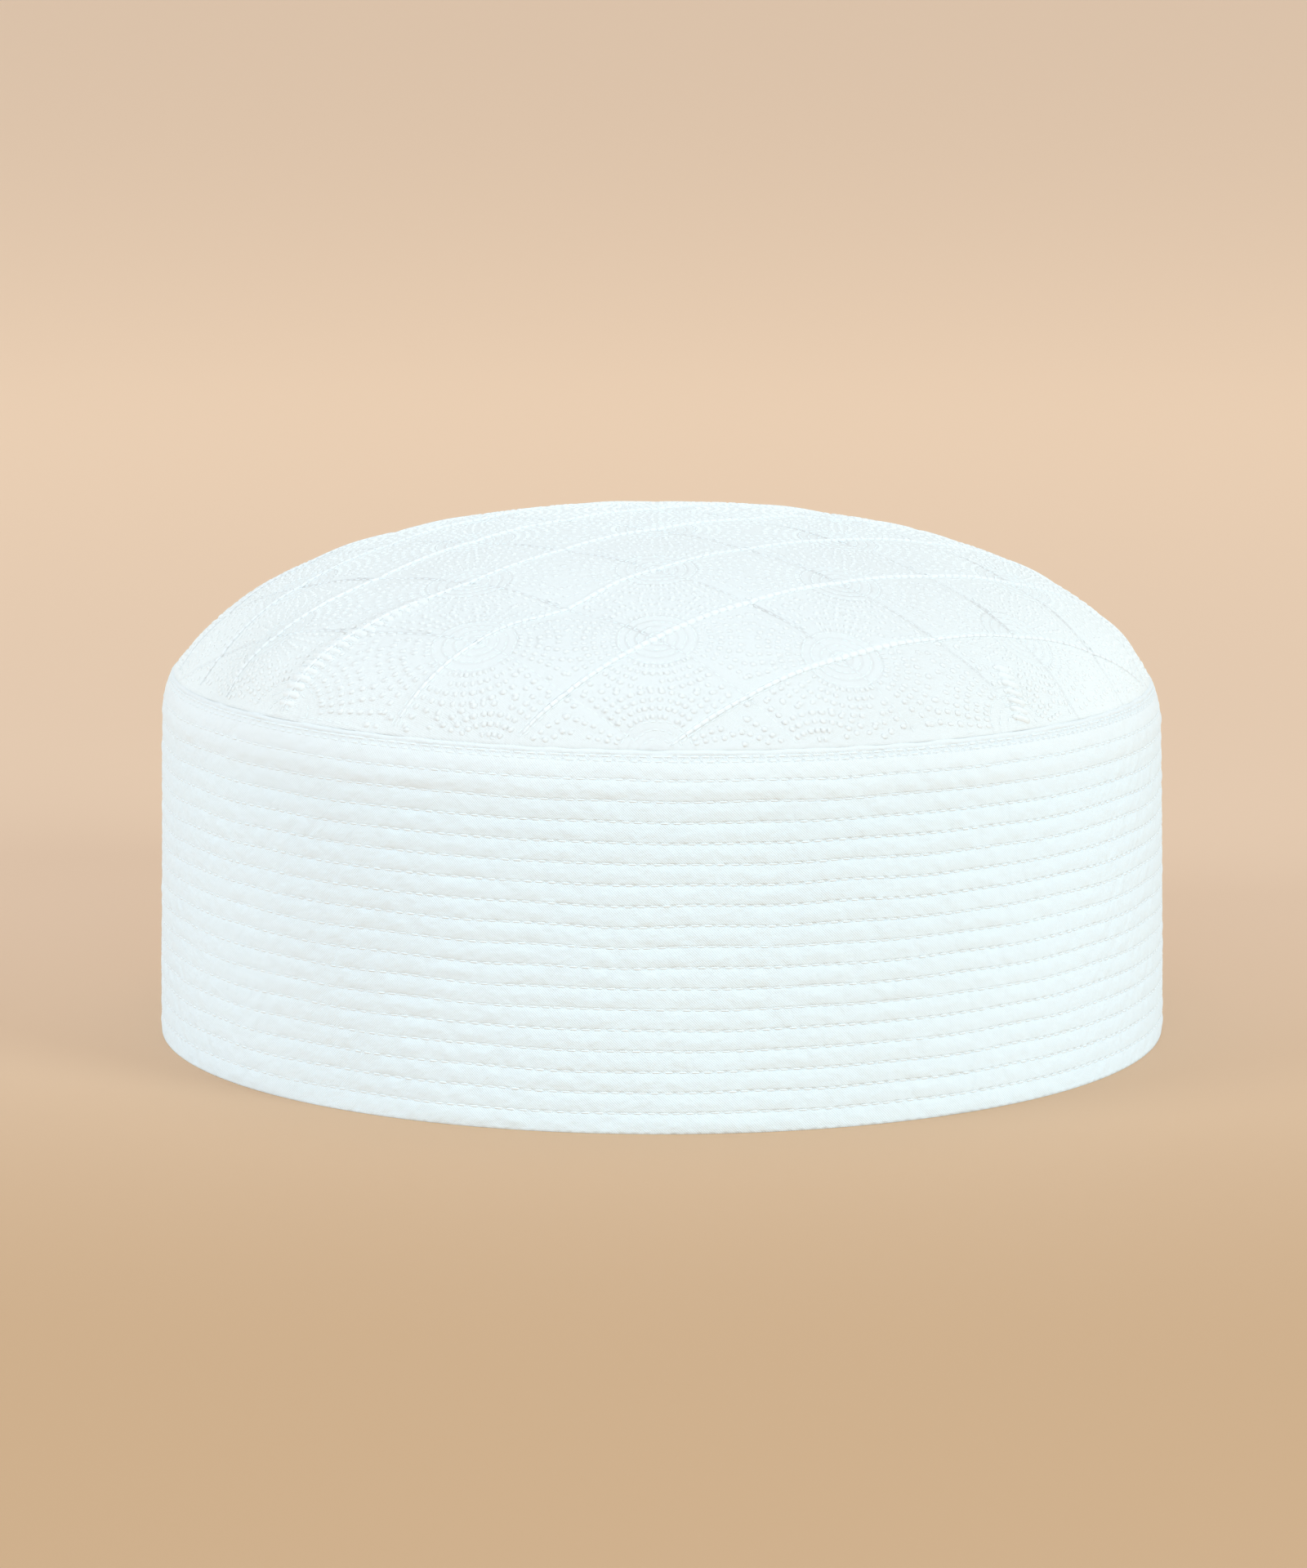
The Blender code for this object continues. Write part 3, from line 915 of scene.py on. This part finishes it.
# Rays of puffed cloth between the outer rings of each rosette, which its needle holes part from each other
def makeRays():
    middleU, middleV = rosetteMiddles()
    placeSeed, sizeSeed = rays["seeds"]
    draw = np.random.default_rng(placeSeed)
    count, pitch = lattice["rays"], lattice["ringPitch"]
    ring = np.arange(lattice["sewnRings"], lattice["outerRings"])
    radius = np.repeat((ring + 0.5) * pitch, count)[None]
    angle = np.tile((np.arange(count) + 0.5) * 2 * math.pi / count, len(ring))[None]
    angle = angle + draw.normal(0, rays["stray"], (len(middleU), angle.size)) * 2 * math.pi / count
    du, dv = radius * np.cos(angle), radius * np.sin(angle)
    u, v = middleU + du, middleV + dv
    keep = (ownGround(du, dv) & (np.abs(toLine(u, v, -1)) > rays["clearOfCord"])
            & (np.abs(toLine(u, v, 1)) > rays["clearOfCrease"]) & (onCrest(u, v)[0] < crestShare)
            & (draw.uniform(0, 1, u.shape) < rays["left"]))
    low, high = radius - pitch * rays["length"] / 2, radius + pitch * rays["length"] / 2
    ends = np.stack((middleU + low * np.cos(angle), middleV + low * np.sin(angle),
                     middleU + high * np.cos(angle), middleV + high * np.sin(angle)), -1)[keep]
    width = np.minimum(2 * math.pi * radius / count * rays["fill"], rays["widest"]) + 0 * middleU
    growth = 1 + rays["frontGrowth"] * np.clip((-v - rays["front"]) / rays["frontReach"], 0, 1)
    width = width * np.sqrt(growth)
    height, sides, ringAt = rays["height"] * growth, rays["sides"], rays["ringAt"]
    return layGrains("crown_rays", *ends.T, width[keep], height[keep], sizeSeed, sides, ringAt)


# In each white, the painted shade of its marks goes towards a darker colour by a share
whites = {
    "band": {"colour": (0.86, 0.93, 0.95), "shade": (0.965, 0.97, 0.98), "sheen": 0.2, "roughness": 0.78,
             "threadPitch": 0.00046, "yarnLength": 0.0009, "cloudLength": 0.012, "puckerLength": 0.0024,
             "pucker": 3.0, "bump": 0.7, "bumpDepth": 0.00018, "paintedShadeDark": 0.36, "holeDepth": 1.5,
             "paintedShadeColour": (0.60, 0.67, 0.70), "topColour": (0.865, 0.885, 0.875), "topFrom": 0.054},
    "crown": {"colour": (0.892, 0.906, 0.880), "shade": (0.965, 0.97, 0.98), "sheen": 0.2, "roughness": 0.75,
              "threadPitch": 0.00046, "yarnLength": 0.0008, "cloudLength": 0.010, "puckerLength": 0.0013,
              "pucker": 2.5, "bump": 0.8, "bumpDepth": 0.00015, "paintedShadeDark": 0.62, "holeDepth": 1.2,
              "paintedShadeColour": (0.66, 0.63, 0.61)},
    "thread": {"colour": (0.875, 0.905, 0.90), "shade": 0.96, "sheen": 0.3, "roughness": 0.45,
               "rougher": 0.15, "fibre": 0.0004, "cloudLength": 0.004, "bump": 0.4, "bumpDepth": 0.00005},
}
whites["piping"] = {**whites["crown"], "colour": (0.845, 0.864, 0.855)}
# the raised cords are painted lighter than the crown's cloth, a painted highlight standing in for the light
# on their tops
whites["cord"] = {**whites["crown"], "colour": (0.90, 0.91, 0.90)}
whites["ray"] = {**whites["crown"], "colour": (0.895, 0.902, 0.878)}

# Painted shade in the band's grooves and needle holes
bandHolesAndShade = {
    "grooveReach": 0.10,         # of a rib's height, each side of a groove
    "groove": 0.2,               # how dark its painted shade is all along
    "hole": 0.5,                 # and more at its needle holes
    "holeReach": 0.30,           # of the distance from hole to hole
    "topReach": 0.00026,         # each side of the two top rows
    "top": 0.05,
    "topHole": 0.8,
    "topHoleReach": 0.34,
    "toRight": (-0.075, 0.03, 0.25, 1.0),  # the painted shade shows more to the right: from, to, and how much at each
}


# Painted shade along the band's grooves, deeper at the needle holes in them and in its two top rows, between
# one stitch and the next
def bandMarks(u, v):
    look = bandHolesAndShade
    near = (v * (bandCloth["ribs"] / bandHeight)).offWhole().hump(look["grooveReach"])
    holes = (u / bandStitches["pitch"]).offWhole().hump(look["holeReach"])
    total = near * (look["groove"] + look["hole"] * holes)
    topHoles = (u / bandStitches["topPitch"]).offWhole().hump(look["topHoleReach"])
    for row in bandStitches["topRows"]:
        onRow = (v - (bandHeight - row)).size().hump(look["topReach"])
        total = total.top(onRow * (look["top"] + look["topHole"] * topHoles))
    return total * u.paint.onAxis(0).between(*look["toRight"])


# Distance of a place of the drawing from the nearest rosette's middle, and the angle there
def rosettePlace(u, v):
    across = (u - lattice["right"]) / lattice["across"]
    along = (v - lattice["back"]) / lattice["along"]
    du = (across - across.math("ROUND", across)) * lattice["across"]
    dv = (along - along.math("ROUND", along)) * lattice["along"]
    return (du * du + dv * dv) ** 0.5, dv.math("ARCTAN2", dv, du)


# Needle holes and painted shade in the crown's paint. A fade gives where it starts and ends, and sometimes
# how much there is at each
crownHolesAndShade = {
    "frontShadeFade": (0.03, -0.030),  # painted shade: the cloth is painted darker towards its front
    "sideFade": (0.085, 0.045),
    # how dark the painted front shade is on the cloth, and below on the rays
    "front": 0.54,
    "raysFrontShade": 0.52,
    "holeReach": 0.00028,        # needle holes where a rosette's rings and rays cross
    "hole": 0.14,
    "creaseReach": 0.00062,      # the shade in the stitched creases
    "besideCord": 0.00046,       # the shade beside each raised cord is this far out
    "cordReach": 0.00022,
    "cord": 0.2,
    "besideRing": 0.2,           # the shade beside each inner ring, out by this share of the pitch
    "ringReach": 0.00026,
    "ring": 0.30,
    "lastRing": (1.0, 0.3),      # its fade, counted in rings past the inner ones
    "arcReach": 0.00036,         # the shade between a crest's puffs
    "patchScale": 90.0,          # all this shade comes and goes in patches
    "patchFade": (0.4, 0.62, 0.9, 1.6),
    "seamFade": (0.092, 0.070, 0.4, 1.0),  # and is less near the seam and at the back
    "backFade": (0.045, 0.005, 0.25, 1.0),
    "cordRing": 0.6,             # rings that cross the raised cords
    "cordRingReach": 0.16,
}


# Painted shade: 1 over the cloth's front and 0 towards its sides and back
def paintedFrontShade(u, v):
    return v.between(*crownHolesAndShade["frontShadeFade"]) * u.size().between(*crownHolesAndShade["sideFade"])


# The rays get the same painted shade at the front
def rayMarks(u, v):
    return paintedFrontShade(u, v) * crownHolesAndShade["raysFrontShade"]


# How much a place lies among a crest's puffs: the product of a round hump along it and one across it
def amongPuffs(u, v):
    total = 0.0
    for crest in crests:
        along, aside, length = besideCrest(crest, u, v)
        total = total + (along - length / 2).hump(length / 2) * aside.hump(crestPuffs["length"])
    return total


# Needle holes where a rosette's rings and rays cross, and painted shade over the front, in each crease,
# beside each cord and inner ring, and between a crest's puffs
def crownMarks(u, v):
    look, pitch = crownHolesAndShade, lattice["ringPitch"]
    out, angle = rosettePlace(u, v)
    fromRing = (out / pitch).offWhole() * pitch
    fromRay = (angle * (lattice["rays"] / (2 * math.pi))).offWhole() * out * (2 * math.pi / lattice["rays"])
    hole = ((fromRing * fromRing + fromRay * fromRay) ** 0.5).hump(look["holeReach"])
    crease = (lineNumber(u, v, 1).offWhole() * lineSpacing).hump(look["creaseReach"])
    fromCord = (lineNumber(u, v, -1) - look["besideCord"] / lineSpacing).offWhole() * lineSpacing
    patches = u.paint.noise(look["patchScale"], 1.0).between(*look["patchFade"])
    fromMiddle = (u * u + v * v) ** 0.5
    comesAndGoes = patches * fromMiddle.between(*look["seamFade"]) * v.between(*look["backFade"])
    besideRing = ((out / pitch - look["besideRing"]).offWhole() * pitch).hump(look["ringReach"])
    innerRings = (out / pitch - lattice["sewnRings"]).between(*look["lastRing"])
    ground = paintedFrontShade(u, v) * look["front"] + hole * look["hole"]
    ground = ground + besideRing * innerRings * comesAndGoes * look["ring"]
    ground = ground.top(fromRing.hump(look["arcReach"]) * amongPuffs(u, v))
    shade = (crease * comesAndGoes).top(fromCord.hump(look["cordReach"]) * comesAndGoes * look["cord"])
    return ground.top(shade)


# Rings that cross the raised cords
def cordMarks(u, v):
    out, _ = rosettePlace(u, v)
    fromRing = (out / lattice["ringPitch"]).offWhole()
    return fromRing.hump(crownHolesAndShade["cordRingReach"]) * crownHolesAndShade["cordRing"]


bandPaint = cottonPaint("corded cotton", whites["band"], bandMarks)
pipingPaint = cottonPaint("folded cotton", whites["piping"])
crownPaint = cottonPaint("embroidered cotton", whites["crown"], crownMarks)
cordPaint = cottonPaint("raised cord cotton", whites["cord"], cordMarks)
rayPaint = cottonPaint("puffed cotton", whites["ray"], rayMarks)
whiteThread = threadPaint("white thread", whites["thread"])

band = makeBand()
dress(band, bandPaint, "band")
dress(makeBandStitches(), whiteThread)
dress(makePiping(), pipingPaint, "piping")
crown = makeCrown()
dress(crown, crownPaint, "crown")
dress(makeCords(), cordPaint)
dress(makeLatticeStitches(), whiteThread)
dress(makeRingStitches(), whiteThread)
dress(makeCrestPuffs(), rayPaint)
dress(makeRays(), rayPaint)
print("cap dressed")


studio = {
    "photoSize": (1600, 1920),
    "focalPixels": 6904.8,
    "capMiddle": 810.3,          # column of the photo that the cap's axis is on
    "distance": 1.024,
    "cameraHeight": 0.2219,
    "pitchDown": 9.84,
    "floorFront": (0.57, 0.35, 0.19),   # the floor's colour before the cap, beside it, and far behind it
    "floorBeside": (0.78, 0.54, 0.37),
    "floorFar": (0.97, 0.68, 0.46),
    "floorTints": (("floorBeside", -0.25, 0.15), ("floorFar", 0.15, 1.2)),  # from and to this far back
    "floorSize": 60.0,
    "aim": 0.7,                  # the lights are aimed at this share of the band's height
    "worldColour": (0.96, 0.995, 1.01),
    "worldStrength": 0.76,
}


# A long lens a metre before the cap, at the photo's height and tilt, turned to put the cap on its column
def makeCamera():
    lens = bpy.data.cameras.new("camera")
    lens.sensor_width = 36.0
    lens.lens = studio["focalPixels"] / max(studio["photoSize"]) * lens.sensor_width
    lens.clip_end = 200.0
    camera = addObject("camera", lens)
    aside = math.atan((studio["capMiddle"] - studio["photoSize"][0] / 2) / studio["focalPixels"])
    camera.location = (0.0, -studio["distance"], studio["cameraHeight"])
    camera.rotation_euler = (math.radians(90 - studio["pitchDown"]), 0.0, aside)
    bpy.context.scene.camera = camera


# A wide flat floor that goes on as the backdrop, its colour changing towards the back: darker near the cap
# and lighter far behind it, painted light that makes up for the lamps' light, strongest near the cap
def makeFloor():
    half = studio["floorSize"] / 2
    mesh = bpy.data.meshes.new("floor")
    corners = [(-half, -half, 0), (half, -half, 0), (half, half, 0), (-half, half, 0)]
    mesh.from_pydata(corners, [], [(0, 1, 2, 3)])
    floor = addObject("floor", mesh)
    paint = Paint("pale floor", studio["floorBeside"], {"Roughness": 0.6, "Specular IOR Level": 0.2})
    back = paint.onAxis(1)
    colour = (*studio["floorFront"], 1.0)
    for tint, start, end in studio["floorTints"]:
        share = paint.node("ShaderNodeMapRange", {"interpolation_type": "SMOOTHSTEP"},
                           {"Value": back, "From Min": start, "From Max": end})
        colour = paint.mix(share, colour, (*studio[tint], 1.0))
    paint.put(paint.shader.inputs["Base Color"], colour)
    mesh.materials.append(paint.material)


# Big soft lights, each aimed at the cap: place, size, watts and colour
lights = {
    "key": {"place": (1.3, -1.05, 0.65), "size": 0.7, "power": 14.5, "colour": (0.79, 1.04, 1.18)},
    "fill": {"place": (-1.5, -0.75, 0.65), "size": 1.0, "power": 12.8, "colour": (0.77, 1.02, 1.21)},
    "top": {"place": (0.0, 0.2, 1.8), "size": 1.4, "power": 2.6, "colour": (1.20, 1.00, 0.80)},
}


# Round lamps, and the same soft light from all around
def makeLights():
    aim = np.array([0.0, 0.0, bandHeight * studio["aim"]])
    for name, light in lights.items():
        lamp = bpy.data.lights.new(name, "AREA")
        lamp.shape = "DISK"
        lamp.size = light["size"]
        lamp.energy = light["power"]
        lamp.color = light["colour"]
        holder = addObject(name, lamp)
        back = np.array(light["place"]) - aim
        holder.location = light["place"]
        lean = math.acos(back[2] / np.linalg.norm(back))
        holder.rotation_euler = (lean, 0.0, math.atan2(back[1], back[0]) + math.pi / 2)
    world = bpy.data.worlds.new("soft room")
    bpy.context.scene.world = world
    world.use_nodes = True
    background = world.node_tree.nodes["Background"]
    background.inputs["Color"].default_value = (*studio["worldColour"], 1.0)
    background.inputs["Strength"].default_value = studio["worldStrength"]
    bpy.context.scene.view_settings.view_transform = "Standard"


makeCamera()
makeFloor()
makeLights()
print("studio set")
